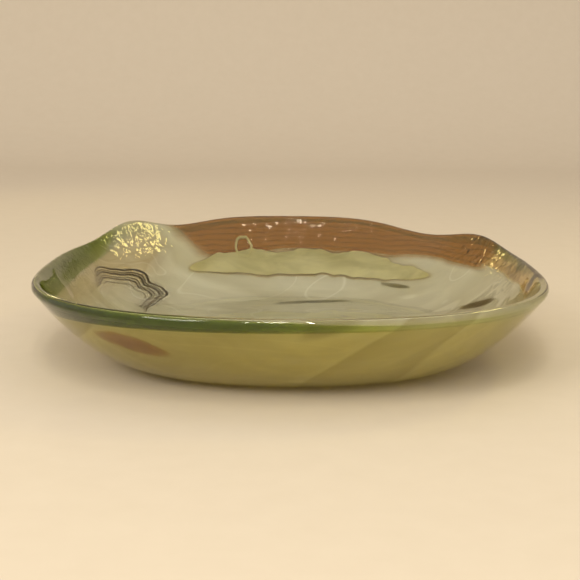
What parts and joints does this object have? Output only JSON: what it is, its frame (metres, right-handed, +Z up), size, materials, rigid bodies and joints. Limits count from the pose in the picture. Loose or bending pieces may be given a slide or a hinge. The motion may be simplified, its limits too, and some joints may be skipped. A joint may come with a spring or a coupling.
{
  "type": "art glass bowl",
  "caption": "Shallow free-form bowl of layered art glass, rounded square in plan, clear inside with a milky veil, lime green outside, coloured inclusions, dark green lip, raised wavy back edge.",
  "frame": {"origin": "centre of the footprint on the surface the bowl stands on", "axes": "+Z up; +X to the right seen from the front; the front of the bowl faces -Y and the raised wavy edge is at +Y"},
  "size_m": [0.273, 0.3009, 0.0553],
  "materials": {
    "clear_glass": "clear, fire polished",
    "milky_white_glass": "milky, drawn into wisps",
    "pale_lime_glass": "translucent",
    "brown_glass": "dark thread",
    "amber_glass": "translucent",
    "olive_glass": "translucent",
    "lime_glass": "transparent, fire polished",
    "dark_green_glass": "transparent, fire polished"
  },
  "bodies": {
    "root": {"inner_casing": "clear_glass", "white_veil": "milky_white_glass", "lime_patch": "pale_lime_glass", "brown_trails": "brown_glass", "amber_streak": "amber_glass", "dark_streaks": "olive_glass", "lime_casing": "lime_glass", "lip_wrap": "dark_green_glass"}
  },
  "joints": []
}
